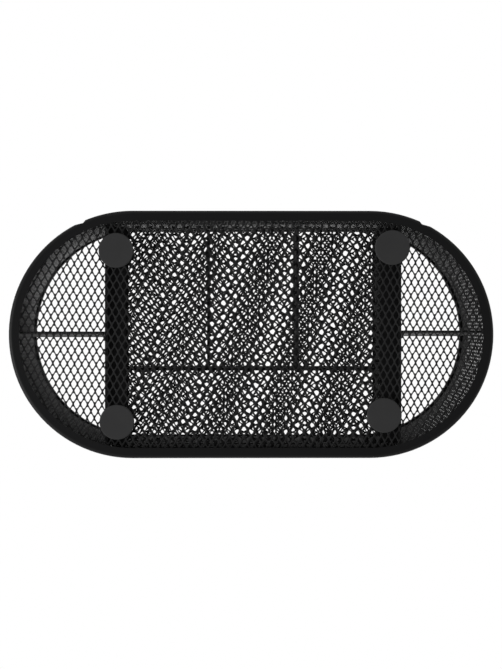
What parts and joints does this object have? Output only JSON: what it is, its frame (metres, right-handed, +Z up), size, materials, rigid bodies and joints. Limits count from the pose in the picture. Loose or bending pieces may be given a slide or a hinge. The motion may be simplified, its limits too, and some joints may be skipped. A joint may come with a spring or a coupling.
{
  "type": "desk organizer",
  "caption": "Oval black mesh desk organizer with half-round pen bays at both ends, a divided tray between them and a drawer sliding out below.",
  "frame": {"origin": "centre of the footprint, on the desk under the foot pads", "axes": "+Z up, +X to the right seen from the drawer's side, -Y the way the drawer opens"},
  "size_m": [0.232, 0.1184, 0.103],
  "materials": {
    "black_mesh": "satin black powder coat on expanded steel mesh",
    "black_sheet": "satin black powder coat on sheet steel",
    "black_rim": "satin black powder coat on rolled steel band",
    "black_rivet": "satin black",
    "pad_foam": "matt dark grey foam rubber"
  },
  "bodies": {
    "organizer": {"base_rim": "black_rim", "top_rim": "black_rim", "floor_mesh": "black_mesh", "wall_back": "black_mesh", "wall_front": "black_mesh", "wall_end_right": "black_mesh", "wall_end_left": "black_mesh", "drawer_opening_frame": "black_sheet", "cross_wall_right": "black_mesh", "cross_wall_left": "black_mesh", "cross_wall_hem_right": "black_sheet", "cross_wall_hem_left": "black_sheet", "tray_end_wall_right": "black_mesh", "tray_end_wall_left": "black_mesh", "wall_cap_right": "black_sheet", "wall_cap_left": "black_sheet", "end_divider_right": "black_mesh", "end_divider_left": "black_mesh", "end_divider_hems_right": "black_sheet", "end_divider_hems_left": "black_sheet", "tray_floor": "black_mesh", "tray_long_divider": "black_mesh", "tray_long_divider_hems": "black_sheet", "tray_short_divider_right": "black_mesh", "tray_short_divider_left": "black_mesh", "tray_short_divider_hems_right": "black_sheet", "tray_short_divider_hems_left": "black_sheet", "drawer_runner_right": "black_sheet", "drawer_runner_left": "black_sheet", "drawer_stop_right": "black_sheet", "drawer_stop_left": "black_sheet", "foot_pad_back_right": "pad_foam", "foot_pad_back_left": "pad_foam", "foot_pad_front_right": "pad_foam", "foot_pad_front_left": "pad_foam"},
    "drawer": {"drawer_floor": "black_mesh", "drawer_side_right": "black_sheet", "drawer_side_left": "black_sheet", "drawer_back": "black_mesh", "drawer_back_hem": "black_sheet", "drawer_front": "black_mesh", "drawer_front_hem": "black_sheet", "drawer_pull": "black_sheet", "drawer_pull_rivets": "black_rivet"}
  },
  "joints": [
    {"name": "drawer_slide", "type": "slide", "parent": "organizer", "child": "drawer", "axis": [0, -1, 0], "range_m": [0, 0.08]}
  ]
}
